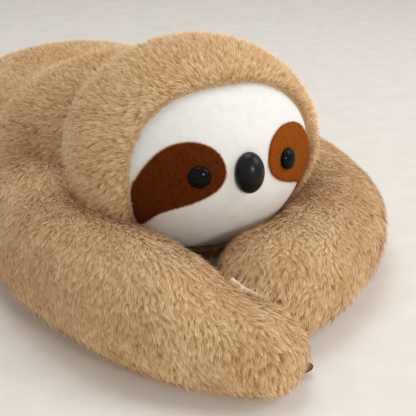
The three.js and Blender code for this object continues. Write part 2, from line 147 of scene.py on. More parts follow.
def waves(points, size, seed, count=14):
    """Smooth noise of about -1 to 1 at points, with features of about size millimetres."""
    r = np.random.default_rng(seed)
    ways = unit(r.normal(size=(count, 3))) * r.uniform(0.6, 1.7, (count, 1)) * 2 * np.pi / size
    phase = r.uniform(0, 2 * np.pi, count)
    return np.sin(points @ ways.T + phase).sum(-1) / math.sqrt(count / 2) / 1.6


def turns(count):
    """Angles all the way round, in count even steps."""
    return np.linspace(0, 2 * np.pi, count, endpoint=False)


# ---- forms


class Tube:
    """A stuffed form that lies along a route on the ground, as part.mjs makes it."""

    def __init__(self, route, ring, squareness, base_squareness, before=0.0):
        at = spline(route, np.linspace(0, 1, 801))
        steps = np.linalg.norm(np.diff(at, axis=0), axis=1)
        self.d = np.concatenate([[0], np.cumsum(steps)])
        self.at, self.length, self.before = at, self.d[-1], before
        self.ahead = unit(np.gradient(at, axis=0))
        self.ring_of, self.squareness = ring, (squareness, base_squareness)

    def place(self, d):
        """Middle line and direction at a distance d, which may be before the route's start."""
        xy = np.stack([np.interp(d, self.d, self.at[:, k]) for k in (0, 1)], -1)
        way = unit(np.stack([np.interp(d, self.d, self.ahead[:, k]) for k in (0, 1)], -1))
        return xy + way * np.minimum(d, 0)[..., None], way

    def ring(self, d):
        return self.ring_of(d, self.length)

    def points(self, d, turn):
        """Points of the form at distances d and angles turn, 0 being one side and pi/2 the top."""
        xy, way = self.place(d)
        half_width, half_height, middle = self.ring(d)
        sine = np.sin(turn)
        square = np.where(sine < 0, self.squareness[1], self.squareness[0])
        out = half_width * super_power(np.cos(turn), square)
        z = middle + half_height * super_power(sine, square) - REST_CUT
        return np.stack([xy[..., 0] - out * way[..., 1], xy[..., 1] + out * way[..., 0], z], -1)

    def nearest(self, p, count):
        """The nearest of count spots of the middle line, how p lies to it, and the ring there."""
        line = np.linspace(-self.before, self.length, count)
        xy, way = self.place(line)
        near = ((p[:, None, :2] - xy[None]) ** 2).sum(-1).argmin(1)
        xy, way = xy[near], way[near]
        away = p[:, :2] - xy
        out = -away[:, 0] * way[:, 1] + away[:, 1] * way[:, 0]
        return xy, way, out, (away * way).sum(1), [v[near] for v in self.ring(line)]

    def outside(self, p, grow):
        """p with each point inside the form grown by grow moved out to its side."""
        p = p.copy()
        flat = p.reshape(-1, 3)
        block = 20000  # points at a time, to spare memory
        for first in range(0, len(flat), block):
            q = flat[first:first + block]
            xy, way, out, along, (half_width, half_height, middle) = self.nearest(q, 220)
            up = q[:, 2] - middle + REST_CUT
            s = np.where(up < 0, self.squareness[1], self.squareness[0])
            r = (np.abs(out / (half_width + grow)) ** s
                 + np.abs(up / (half_height + grow)) ** s) ** (1 / s)
            hit = (r < 1) & (r > 0.02) & (np.abs(along) < 4)
            out, up = np.where(hit, out / r, out), np.where(hit, up / r, up)
            side = np.stack([-way[:, 1], way[:, 0]], 1)
            moved = xy + side * out[:, None] + way * along[:, None]
            q[hit, :2] = moved[hit]
            q[hit, 2] = np.maximum(up + middle - REST_CUT, 1)[hit]
        return p

    def depth(self, p):
        """How deep points are in the form, as 1 at its middle line to 0 at its surface."""
        _, _, out, along, (half_width, half_height, middle) = self.nearest(p, 160)
        out = np.hypot(out, along) / np.maximum(half_width, 1)
        return 1 - np.hypot(out, (p[:, 2] - middle) / np.maximum(half_height, 1))


def limb_tube(limb, side, swing):
    """A limb's form, which also holds its sizes, its side, its joint and its range of swing."""
    girths, cap = limb["girths"], limb["cap"]
    ball, ball_height = LIMB_WIDTH * girths[0] - ROOT_INSET, LIMB_HEIGHT * girths[0] - ROOT_INSET

    def ring(d, length):
        girth = swell(girths, np.clip(d / length, 0, 1))
        opened = np.where(d > 0, round_end(d, ROOT_CAP), 0) * round_end(length - d, cap)
        root = np.sqrt(np.clip(1 - (d / ball) ** 2, 0, 1))
        return (np.maximum(LIMB_WIDTH * girth * opened, ball * root),
                np.maximum(LIMB_HEIGHT * girth * opened, ball_height * root),
                LIMB_HEIGHT * girth)

    route = [(side * x, y) for x, y in limb["route"]]
    tube = Tube(route, ring, LIMB_SQUARENESS, LIMB_BASE_SQUARENESS, before=ball)
    tube.limb, tube.side, tube.centre, tube.swing = limb, side, route[0], swing
    return tube


def body_tube():
    def ring(d, length):
        share = d / length
        opened = round_end(d, BODY_CAPS[0]) * round_end(length - d, BODY_CAPS[1])
        tall = swell(BODY_HEIGHTS, share) / 2
        return swell(BODY_HALF_WIDTHS, share) * opened, tall * opened, tall

    route = [(0, BODY_FRONT), (0, BODY_FRONT + BODY_LENGTH)]
    return Tube(route, ring, BODY_SQUARENESS, BODY_BASE_SQUARENESS)


def out_of_head(p, grow):
    """p with each point inside the head grown by grow moved out to its surface."""
    q = p - HEAD_CENTRE
    depth = np.where(q[..., 1] < 0, HEAD_FRONT, HEAD_ROUND)
    half = np.stack([np.full_like(depth, HEAD_HALF_WIDTH, float), depth,
                     np.full_like(depth, HEAD_ROUND, float)], -1) + grow
    r = np.linalg.norm(q / half, axis=-1, keepdims=True)
    return HEAD_CENTRE + np.where(r < 1, q / np.maximum(r, 1e-3), q)


def chin(p):
    """Points of the head with its chin stuffed fuller, down and forward."""
    q = (p - HEAD_CENTRE) / (HEAD_HALF_WIDTH, HEAD_FRONT, HEAD_ROUND)
    share = lambda v: (3 - 2 * np.clip(v, 0, 1)) * np.clip(v, 0, 1) ** 2
    full = share((-q[..., 2] - 0.3) / 0.6) * share((0.35 - q[..., 1]) / 0.7)
    return p + full[..., None] * CHIN_FILL


def head_point(across, way, grow):
    """A point of the head: across is 0 at the face's middle and pi at the back."""
    front = -np.cos(across)
    depth = np.where(front < 0, HEAD_FRONT, HEAD_ROUND)
    return chin(np.stack([np.sin(across) * np.cos(way) * (HEAD_HALF_WIDTH + grow),
                          front * (depth + grow),
                          np.sin(across) * np.sin(way) * (HEAD_ROUND + grow) + HEAD_HEIGHT], -1))


def on_face(x, rise, grow):
    """Points of the head's front at a spot of the face, and the way out of the cloth there."""
    width, depth, height = HEAD_HALF_WIDTH + grow, HEAD_FRONT + grow, HEAD_ROUND + grow
    left = np.clip(1 - (x / width) ** 2 - (rise / height) ** 2, 1e-4, 1)
    y = -depth * np.sqrt(left)
    out = unit(np.stack([x / width**2, y / depth**2, rise / height**2], -1))
    return chin(np.stack([x, y, rise + HEAD_HEIGHT + 0 * x], -1)), out


def face_edge(turn, grow=0.0):
    x = (FACE_HALF_WIDTH + grow) * super_power(np.cos(turn), FACE_SQUARENESS)
    rise = (FACE_HALF_HEIGHT + grow) * super_power(np.sin(turn), FACE_SQUARENESS) - FACE_DROP
    return x, rise


def unwarped(x, rise, inset=0.0):
    """A spot of the face where its seam, drawn in by inset, is a circle of radius 1."""
    halves = ((x, FACE_HALF_WIDTH), (rise + FACE_DROP, FACE_HALF_HEIGHT))
    return [np.sign(v) * np.abs(v / (half - inset)) ** (FACE_SQUARENESS / 2) for v, half in halves]


def seam_across(way, grow=0.0):
    """Where the face's seam crosses each direction way round the face, as head_point's across."""
    x, rise = face_edge(np.linspace(-np.pi, np.pi, 1441), grow)
    x, rise = x / HEAD_HALF_WIDTH, rise / HEAD_ROUND
    turn = np.unwrap(np.arctan2(rise, x))
    across = np.arcsin(np.clip(np.hypot(x, rise), 0, 1))
    return np.interp(np.mod(way - turn[0], 2 * np.pi) + turn[0], turn, across)


# ---- meshes


def row(p):
    """From the fit frame in millimetres to the row frame in metres."""
    return (np.asarray(p, float) + (0, SHIFT_Y, 0)) * MM


def add_object(name, data):
    obj = bpy.data.objects.new(name, data)
    bpy.context.scene.collection.objects.link(obj)
    return obj


def make_mesh(name, verts, polys, uvs=None, normals=None):
    """An object from points in the fit frame and a list of arrays of faces, each of one length."""
    mesh = bpy.data.meshes.new(name)
    loops = np.concatenate([np.asarray(f, np.int32).ravel() for f in polys])
    sizes = np.concatenate([np.full(len(f), np.shape(f)[1], np.int32) for f in polys])
    mesh.vertices.add(len(verts))
    mesh.vertices.foreach_set("co", row(verts).astype(np.float32).ravel())
    mesh.loops.add(len(loops))
    mesh.loops.foreach_set("vertex_index", loops)
    mesh.polygons.add(len(sizes))
    starts = np.concatenate([[0], np.cumsum(sizes)[:-1]]).astype(np.int32)
    mesh.polygons.foreach_set("loop_start", starts)
    if uvs is not None:
        layer = mesh.uv_layers.new(name="OFBake")
        layer.data.foreach_set("uv", np.asarray(uvs, np.float32).ravel())
    mesh.update(calc_edges=True)
    mesh.polygons.foreach_set("use_smooth", np.ones(len(sizes), bool))
    if normals is not None:
        mesh.normals_split_custom_set_from_vertices(normals.astype(float).tolist())
    return add_object(name, mesh)


def grid_faces(rows, cols, closed=True, flip=False, first=0):
    """The quads of a grid of points, closed or not from its last column to its first."""
    r = np.arange(rows - 1)[:, None]
    c = np.arange(cols if closed else cols - 1)[None]
    n = (c + 1) % cols
    quad = np.stack(np.broadcast_arrays(r * cols + c, r * cols + n, (r + 1) * cols + n,
                                        (r + 1) * cols + c), -1).reshape(-1, 4) + first
    return quad[:, ::-1] if flip else quad


def shell(outer, inner, rim_first):
    """Points and faces of cloth with two sides, closed along its grid's first or last row."""
    rows, cols = outer.shape[:2]
    n = rows * cols
    rim = np.arange(cols) + (0 if rim_first else n - cols)
    corners = [rim, np.roll(rim, -1), np.roll(rim, -1) + n, rim + n]
    if rim_first:
        corners = [corners[k] for k in (0, 3, 2, 1)]
    return (np.concatenate([outer.reshape(-1, 3), inner.reshape(-1, 3)]),
            [grid_faces(rows, cols), grid_faces(rows, cols, flip=True, first=n),
             np.stack(corners, 1)])


def weld(obj):
    """Joins the doubled points at a form's poles and seams."""
    work = bmesh.new()
    work.from_mesh(obj.data)
    bmesh.ops.remove_doubles(work, verts=work.verts, dist=1e-6)
    bmesh.ops.recalc_face_normals(work, faces=work.faces)
    work.to_mesh(obj.data)
    work.free()


def give(obj, material, body, slot, *nodes):
    obj.data.materials.append(material)
    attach(obj, body)
    if nodes:
        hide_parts(*nodes)
    return obj


# ---- materials


def srgb(r, g, b):
    f = lambda c: c / 12.92 if c <= 0.04045 else ((c + 0.055) / 1.055) ** 2.4
    return (f(r / 255), f(g / 255), f(b / 255), 1)


class Nodes:
    """A material under construction, with its Principled shader."""

    def __init__(self, name, roughness=0.8, **values):
        self.material = bpy.data.materials.new(name)
        self.material.use_nodes = True
        self.tree = self.material.node_tree
        self.shader = self.tree.nodes["Principled BSDF"]
        self.shader.inputs["Roughness"].default_value = roughness
        for key, value in values.items():
            self.shader.inputs[key.replace("_", " ")].default_value = value

    def add(self, kind, links=(), **settings):
        node = self.tree.nodes.new("ShaderNode" + kind)
        for key, value in settings.items():
            setattr(node, key, value)
        for socket, source in links:
            if hasattr(source, "links"):
                self.tree.links.new(source, node.inputs[socket])
            else:
                node.inputs[socket].default_value = source
        return node

    def ramp(self, source, stops):
        node = self.add("ValToRGB", [("Fac", source)])
        ramp = node.color_ramp
        while len(ramp.elements) < len(stops):
            ramp.elements.new(0.5)
        for element, (place, colour) in zip(ramp.elements, stops):
            element.position, element.color = place, colour
        return node.outputs["Color"]

    def mix(self, share, a, b, blend="MIX"):
        links = [(0, share), (6, a), (7, b)]
        return self.add("Mix", links, data_type="RGBA", blend_type=blend).outputs[2]

    def noise(self, scale, detail=2.0, roughness=0.5, vector=None, stretch=None):
        if vector is None:
            vector = self.add("TexCoord").outputs["Object"]
        if stretch is not None:
            vector = self.add("Mapping", [("Vector", vector), ("Scale", stretch)]).outputs[0]
        links = [("Vector", vector), ("Scale", scale), ("Detail", detail),
                 ("Roughness", roughness)]
        return self.add("TexNoise", links).outputs["Fac"]

    def colour(self, source):
        self.tree.links.new(source, self.shader.inputs["Base Color"])

    def bump(self, height, distance):
        node = self.add("Bump", [("Height", height), ("Distance", distance)])
        self.tree.links.new(node.outputs[0], self.shader.inputs["Normal"])


def fur_material():
    """Colour from the strand's own map: u is its tone, v runs from its root to its tip."""
    n = Nodes("tan_fur", 0.85, Sheen_Weight=0.04, Sheen_Roughness=0.5, Specular_IOR_Level=0.2)
    uv = n.add("UVMap", uv_map="OFBake").outputs["UV"]
    split = n.add("SeparateXYZ", [("Vector", uv)])
    tone, height = split.outputs["X"], split.outputs["Y"]
    # both ramps darken towards the root: partly the fur's own darker base, partly painted shade
    # deep in the pile
    dull = n.ramp(height, [(0.0, srgb(114, 72, 35)), (0.3, srgb(150, 104, 60)),
                           (0.7, srgb(216, 170, 120)), (1.0, srgb(251, 214, 171))])
    pale = n.ramp(height, [(0.0, srgb(157, 109, 63)), (0.3, srgb(207, 161, 109)),
                           (0.7, srgb(253, 221, 177)), (1.0, srgb(255, 240, 212))])
    streak = n.noise(60.0, 1.0, vector=uv, stretch=(1, 0.02, 1))
    shade = n.ramp(streak, [(0.3, (0.84, 0.83, 0.82, 1)), (0.7, (1.12, 1.1, 1.08, 1))])
    n.colour(n.mix(1.0, n.mix(tone, dull, pale), shade, "MULTIPLY"))
    return n.material


def plush_material(name, light, dark, size, bump, sheen):
    """Short plush: a mottled nap with fine fibres standing in it."""
    n = Nodes(name, 0.9, Sheen_Weight=sheen, Sheen_Roughness=0.4, Specular_IOR_Level=0.05)
    nap = n.noise(size, 4.0, 0.65)
    fibre = n.noise(size * 9, 2.0, 0.6)
    both = n.add("Math", [(0, nap), (1, fibre)], operation="ADD").outputs[0]
    n.colour(n.ramp(both, [(0.72, dark), (1.25, light)]))
    n.bump(fibre, bump)
    return n.material


def plain_material(name, light, dark, scale, roughness):
    n = Nodes(name, roughness)
    n.colour(n.ramp(n.noise(scale, 3.0), [(0.35, dark), (0.65, light)]))
    return n.material


def moulded_material(name, roughness, gloss, grain, light, dark):
    n = Nodes(name, roughness, Specular_IOR_Level=gloss)
    n.colour(n.ramp(n.noise(*grain), [(0.3, dark), (0.7, light)]))
    return n


def make_materials():
    made = {"fur": fur_material()}
    for key, name, light, dark, size, bump, sheen in (
        ("white", "white_plush", (240, 240, 239), (231, 230, 228), 160, 0.0003, 0.1),
        ("brown", "brown_plush", (150, 78, 20), (98, 44, 8), 300, 0.0005, 0.0),
        # a darker copy of the brown plush: painted shade for the right patch, on the side away from
        # the key lamp
        ("brown_painted_shade", "brown_plush_shaded", (94, 43, 10), (44, 16, 3), 300, 0.0005, 0.0),
        ("claw", "brown_plush_claw", (92, 38, 12), (56, 22, 6), 300, 0.0005, 0.0),
        ("edge", "brown_plush_edge", (176, 98, 34), (130, 64, 18), 400, 0.0003, 0.08),
    ):
        made[key] = plush_material(name, srgb(*light), srgb(*dark), size, bump, sheen)
    for key, name, light, dark, scale, roughness in (
        ("fibre", "fibre_filling", (248, 246, 242), (228, 225, 218), 240, 1.0),
        ("pouch", "pouch_cloth", (220, 214, 202), (202, 196, 182), 700, 0.9),
        ("washer", "washer", (228, 228, 222), (216, 216, 210), 120, 0.4),
    ):
        made[key] = plain_material(name, srgb(*light), srgb(*dark), scale, roughness)
    made["eye"] = moulded_material(
        "eye", 0.05, 0.1, (90,), srgb(10, 9, 11), srgb(4, 4, 5)).material
    nose = moulded_material("nose", 0.22, 0.2, (420, 3), srgb(17, 13, 15), srgb(8, 6, 7))
    nose.bump(nose.noise(1800, 2), 0.00008)
    made["nose"] = nose.material
    tab = Nodes("satin_tab", 0.45, Sheen_Weight=0.2)
    thread = tab.add("TexWave", [("Vector", tab.add("TexCoord").outputs["Object"]),
                                 ("Scale", 900.0), ("Distortion", 1.0)], bands_direction="Z")
    tab.colour(tab.ramp(thread.outputs["Fac"],
                        [(0.0, srgb(214, 196, 192)), (1.0, srgb(236, 224, 220))]))
    tab.bump(thread.outputs["Fac"], 0.00005)
    made["tab"] = tab.material
    return made


MATERIALS = make_materials()

# ---- fur


def pick(grid, r, c):
    """Values of a grid, closed along its columns, at fractional rows r and columns c."""
    rows, cols = grid.shape[:2]
    r0 = np.minimum(r.astype(int), rows - 2)
    c0 = c.astype(int)
    fr, fc = (r - r0)[:, None], (c - c0)[:, None]
    a, b = c0 % cols, (c0 + 1) % cols
    return ((grid[r0, a] * (1 - fc) + grid[r0, b] * fc) * (1 - fr)
            + (grid[r0 + 1, a] * (1 - fc) + grid[r0 + 1, b] * fc) * fr)


def sow(grid, spacing, rng):
    """Fractional rows and columns of evenly scattered spots on a grid closed along its columns."""
    steps = np.linalg.norm(np.diff(grid, axis=0), axis=2)
    along = np.concatenate([[0], np.cumsum(steps.mean(1))])
    lines = np.arange(spacing / 2, along[-1], spacing)
    loop = np.linalg.norm(np.roll(grid, -1, 1) - grid, axis=2)
    spots_r, spots_c = [], []
    for r in np.interp(lines, along, np.arange(len(along))):
        lengths = loop[min(int(round(r)), len(grid) - 1)]
        way = np.concatenate([[0], np.cumsum(lengths)])
        count = max(1, int(round(way[-1] / spacing)))
        spot = (np.arange(count) + rng.uniform(0, 1) + rng.uniform(-0.45, 0.45, count)) / count
        spots_c.append(np.interp(np.mod(spot, 1) * way[-1], way, np.arange(len(way))))
        spots_r.append(r + rng.uniform(-0.45, 0.45, count) * spacing
                       / max(np.interp(r, np.arange(len(steps)), steps.mean(1)), 1e-3))
    r = np.clip(np.concatenate(spots_r), 0, len(grid) - 1.001)
    return r, np.mod(np.concatenate(spots_c), grid.shape[1])


def on_skin(grids, r, c):
    """Points of a skin with their normals and ways along it, from its three grids."""
    points, normals, ways = grids
    return pick(points, r, c), unit(pick(normals, r, c)), unit(pick(ways, r, c))


def tangent(v, normals):
    return v - (v * normals).sum(-1, keepdims=True) * normals


def mottled(coat, roots, middle, *scales):
    """The tones of tufts, about middle. Each scale is a depth, a size in millimetres and a seed."""
    tone = middle
    for depth, size, seed in scales:
        tone = tone + depth * waves(roots, size, seed)
    return tone + coat.rng.normal(0, TUFT_NOISE, len(roots))


class Coat:
    """Fur on a skin: tufts of tapered strands whose tips draw together, in millimetres."""

    length, rise, width, reach = 11.2, 6.4, 0.64, 2.5
    per_tuft, crispness = 10, 0.45

    def __init__(self, seed):
        self.seed, self.rng = seed, np.random.default_rng(seed)

    def grow(self, roots, normals, combs, tone, stand=None, long=None):
        """Strands from tuft roots, leaning along combs.

        stand raises them above 0 and lays them flat below it, and long scales their length.
        """
        rng, k = self.rng, self.per_tuft
        n = len(roots)
        stand = np.zeros(n) if stand is None else stand
        long = np.ones(n) if long is None else long
        combs = unit(tangent(combs, normals))
        side = np.cross(normals, combs)
        sway = waves(roots, 34, self.seed + 1) * 0.35 + rng.normal(0, 0.13, n)
        combs = combs * np.cos(sway)[:, None] + side * np.sin(sway)[:, None]
        size = long * rng.uniform(0.8, 1.12, n)
        rise = self.rise * size * (1 + 0.35 * stand) * rng.uniform(0.85, 1.1, n)
        lean = np.sqrt(np.maximum((self.length * size) ** 2 - rise**2, 9))
        tips = roots + combs * lean[:, None] + normals * rise[:, None]
        rep = lambda v: np.repeat(v, k, axis=0)
        normal, comb, side = rep(normals), rep(combs), rep(np.cross(normals, combs))
        turn, far = rng.uniform(0, 2 * np.pi, n * k), np.sqrt(rng.uniform(0, 1, n * k))
        spread = (comb * (np.cos(turn) * far)[:, None] + side * (np.sin(turn) * far)[:, None])
        spread *= self.reach
        root = rep(roots) + spread
        fine = rng.uniform(0, 1, n * k)  # the finest strands are the longest, and stand out
        own = 0.7 + 0.3 * fine + 0.18 * (fine > 0.85)
        tip = rep(roots) + (rep(tips) - rep(roots)) * own[:, None] + spread * 0.6
        guard = ((fine > 0.8) * (1 + np.minimum(rep(stand), 0)))[:, None]
        tip = tip + guard * (normal * 2.4 - comb * (rep(lean) * 0.3)[:, None])
        bend = rep(lean)[:, None] * comb * -0.16 + normal * (rep(rise) * 0.26)[:, None]
        middle = (root + tip) / 2 + bend
        roll = rng.normal(0, 0.42, n * k)
        wide = side * np.cos(roll)[:, None] + normal * np.sin(roll)[:, None]
        wide *= (self.width * (1.2 - 0.6 * fine) * rng.uniform(0.85, 1.15, n * k))[:, None] / 2
        facing = unit(np.cross(wide, tip - root))
        outward = np.sign((facing * normal).sum(1, keepdims=True))
        wide, facing = wide * outward, facing * outward
        verts = np.stack([root, middle + wide, middle - wide, tip], 1)
        tone = np.clip(rep(tone) + rng.normal(0, STRAND_NOISE, n * k), 0.02, 0.96)
        tone = np.clip(tone + 0.1 * guard[:, 0], 0.02, 0.96)
        return verts, tone, unit(normal + facing * (self.crispness + 0.8 * guard))

    def build(self, name, body_name, parts, keep):
        """The strands in parts as objects on a body, after keep has moved their points clear."""
        verts, tone, normals = (np.concatenate([p[k] for p in parts]) for k in range(3))
        pieces = -(-len(verts) // MOST_STRANDS)
        for k, chosen in enumerate(np.array_split(np.arange(len(verts)), pieces)):
            piece = name if pieces == 1 else f"{name}_{k + 1}"
            fur = self.piece(piece, verts[chosen], tone[chosen], normals[chosen], keep)
            give(fur, MATERIALS["fur"], body_name, "tan_fur")

    def piece(self, name, verts, tone, normals, keep):
        """One object of strands, each of two triangles that share its middle."""
        n = len(verts)
        verts = keep(verts.reshape(-1, 3))
        verts[:, 2] = np.maximum(verts[:, 2], FLOOR_GAP)
        first = np.arange(n)[:, None] * 4
        lower, upper = first + [[0, 1, 2]], first + [[2, 1, 3]]
        half = 0.015
        u = tone[:, None]
        low_uv = np.stack([np.concatenate([u, u + half, u - half], 1),
                           np.tile([0.03, 0.5, 0.5], (n, 1))], -1)
        high_uv = np.stack([np.concatenate([u - half, u + half, u], 1),
                            np.tile([0.5, 0.5, 0.97], (n, 1))], -1)
        uvs = np.concatenate([low_uv.reshape(-1, 2), high_uv.reshape(-1, 2)])
        fur = make_mesh(name, verts, [lower, upper], np.clip(uvs, 0.001, 0.999),
                        normals=np.repeat(normals, 4, axis=0))
        fur.visible_diffuse = False
        return fur


def skin_uvs(polys):
    """A skin shows the lower pile's colour, from a spot halfway down the strands' map."""
    out = []
    for faces in polys:
        size = np.shape(faces)[1]
        turn = turns(size)
        spot = 0.5 + 0.05 * np.stack([np.cos(turn), np.sin(turn)], -1)
        out.append(np.tile(spot, (len(faces), 1)))
    return np.concatenate(out)


body = body_tube()
LIMBS = {"arm_right": limb_tube(ARM_RIGHT, -1, (0, -ARM_SWING)),
         "arm_left": limb_tube(ARM_LEFT, 1, (0, ARM_SWING)),
         "leg_right": limb_tube(LEG, -1, (-LEG_SWING, LEG_SWING)),
         "leg_left": limb_tube(LEG, 1, (-LEG_SWING, LEG_SWING))}
arm_right = LIMBS["arm_right"]


def claw_lines(tube):
    """The start and the end of each of a limb's claws."""
    limb = tube.limb
    centre, _ = tube.place(np.array([tube.length - limb["cap"]]))
    _, ahead = tube.place(np.array([tube.length]))
    centre, ahead = centre[0], ahead[0]
    reach = LIMB_WIDTH * limb["girths"][-1] + CLAW_REACH
    lines = []
    for fan in CLAW_FAN:
        turn = math.radians(fan - tube.side * limb["curl"])
        way = np.array([ahead[0] * math.cos(turn) - ahead[1] * math.sin(turn),
                        ahead[0] * math.sin(turn) + ahead[1] * math.cos(turn)])
        lines.append((centre + way * (reach - CLAW_LENGTH), centre + way * (reach + CLAW_FULLER)))
    return lines


CLAWS = {name: claw_lines(tube) for name, tube in LIMBS.items()}


def tube_grid(tube, rows, cols, clear):
    """The skin of a tube: its points, their normals and the direction along it."""
    share = np.linspace(0, 1, rows)
    share = (1 - END_CROWDING) * share + END_CROWDING * (1 - np.cos(np.pi * share)) / 2
    d = -tube.before + share * (tube.before + tube.length)
    d[0], d[-1] = d[0] + 1e-3, d[-1] - 1e-3
    d, turn = np.meshgrid(d, turns(cols), indexing="ij")
    outer = tube.points(d, turn)
    _, way = tube.place(d)
    ahead = np.concatenate([way, np.zeros((rows, cols, 1))], 2)
    outer = clear(outer, FORM_CLEAR)
    normals = unit(np.cross(np.roll(outer, -1, 1) - np.roll(outer, 1, 1),
                            np.gradient(outer, axis=0)))
    if np.mean((normals * (outer - outer.mean(1, keepdims=True))).sum(-1)) < 0:
        normals = -normals
    normals[0], normals[-1] = -ahead[0], ahead[-1]
    skin = clear(outer - normals * INSET, SKIN_CLEAR)
    skin[..., 2] = np.maximum(skin[..., 2], 2)
    return skin, normals, ahead


def rotated(p, centre, degrees):
    a = math.radians(degrees)
    q = p[:, :2] - centre
    turned = np.stack([q[:, 0] * math.cos(a) - q[:, 1] * math.sin(a),
                       q[:, 0] * math.sin(a) + q[:, 1] * math.cos(a)], 1)
    return np.concatenate([turned + centre, p[:, 2:]], 1)


def limb_piece(name, tube, seed, clear, spacing):
    """A limb's skin and its fur, kept where it shows at some angle of its swing."""
    rows, cols = 110, 64
    skin, normals, ahead = tube_grid(tube, rows, cols, clear)
    polys = [grid_faces(rows, cols)]
    obj = make_mesh(name + "_skin", skin.reshape(-1, 3), polys, skin_uvs(polys))
    weld(obj)
    give(obj, MATERIALS["fur"], name, "tan_fur", name)

    coat = Coat(seed)
    roots, out, along = on_skin((skin, normals, ahead), *sow(skin, spacing, coat.rng))
    shows = np.zeros(len(roots), bool)
    for angle in np.linspace(*tube.swing, 3):
        shows |= body.depth(rotated(roots, tube.centre, angle)) < 0.12
    roots, out, along = roots[shows], out[shows], along[shows]
    outward = tube.side * np.cross([0, 0, 1.0], along)
    combs = along * 0.55 + outward * 0.4 + tangent(DOWN, out) * 0.9
    tone = mottled(coat, roots, 0.42, (0.16, 70, seed + 3), (0.14, 11, seed + 4))
    long = bare_round_claws(roots, name)
    strands = [coat.grow(roots, out, combs, tone, stand=-np.clip(out[:, 2], 0, 1), long=long)]
    if name == "arm_right":
        strands.append(fur_over_tab(coat))
    coat.build(name + "_fur", name, strands, keep=lambda v: clear(v, STRAND_CLEAR))


def bare_round_claws(roots, name):
    """How long the pile is: trimmed short beside a limb's claws."""
    long = np.ones(len(roots))
    for start, end in CLAWS[name]:
        share = np.clip(((roots[:, :2] - start) @ (end - start)) / ((end - start) ** 2).sum(), 0, 1)
        near = start + share[:, None] * (end - start)
        away = np.hypot(np.linalg.norm(roots[:, :2] - near, axis=1), roots[:, 2] - CLAW_HEIGHT)
        long = np.minimum(long, np.clip((away - 4) / 12, 0.3, 1))
    return long


def fur_over_tab(coat, count=60):
    """Pile that falls over the tab from the arm's upper side."""
    d = TAB_ALONG * arm_right.length + coat.rng.uniform(-0.55, 0.55, count) * TAB_LENGTH
    turn = np.radians(TAB_ROLL + coat.rng.uniform(3, 20, count))
    at = arm_right.points(d, turn)
    along = unit(arm_right.points(d + 1, turn) - at)
    around = unit(arm_right.points(d, turn - 0.02) - at)
    out = unit(np.cross(along, around))
    out = out * np.sign(out[:, 2:])
    return coat.grow(at - out * INSET * 0.5, out, around + along * 0.7,
                     coat.rng.normal(0.5, 0.15, count), long=coat.rng.uniform(0.6, 1.0, count))


def clear_left_arm(p, grow):
    return arm_right.outside(out_of_head(p, grow), grow + PAW_GAP - FORM_CLEAR)


def clear_leg(p, grow):
    return p.copy()


def make_limbs():
    arms = {"arm_right": out_of_head, "arm_left": clear_left_arm}
    for seed, (name, tube) in enumerate(LIMBS.items(), 11):
        limb_piece(name, tube, seed, arms.get(name, clear_leg),
                   ARM_SPACING if name in arms else LEG_SPACING)


def make_body():
    rows, cols = 90, 96
    skin, normals, ahead = tube_grid(body, rows, cols, out_of_head)
    flat = skin.reshape(-1, 3)
    quads = grid_faces(rows, cols)
    upper = flat[quads][..., 2].mean(1) > SIDE_SEAM_HEIGHT
    coat = Coat(21)
    roots, out, along = on_skin((skin, normals, ahead), *sow(skin, BODY_SPACING, coat.rng))
    shows = np.ones(len(roots), bool)
    for tube in LIMBS.values():  # no fur where a limb covers the body all through its swing
        inside = np.ones(len(roots), bool)
        for angle in tube.swing:
            inside &= tube.depth(rotated(roots, tube.centre, -angle)) > 0.3
        shows &= ~inside
    tone = mottled(coat, roots, 0.4, (0.16, 80, 25), (0.12, 12, 26))
    combs = along * 0.8 + tangent(DOWN, out) * 0.6
    for name, node, faces, chosen in (
        ("back", "back_panel", quads[upper], roots[:, 2] > SIDE_SEAM_HEIGHT),
        ("belly", "belly_panel", quads[~upper], roots[:, 2] <= SIDE_SEAM_HEIGHT),
    ):
        used, index = np.unique(faces, return_inverse=True)
        polys = [index.reshape(faces.shape)]
        obj = make_mesh(name + "_skin", flat[used], polys, skin_uvs(polys))
        give(obj, MATERIALS["fur"], "torso", "tan_fur", node)
        weld(obj)
        at = chosen & shows
        strands = coat.grow(roots[at], out[at], combs[at], tone[at])
        coat.build(name + "_fur", "torso", [strands],
                   keep=lambda v: out_of_head(v, BODY_STRAND_CLEAR))


# ---- head


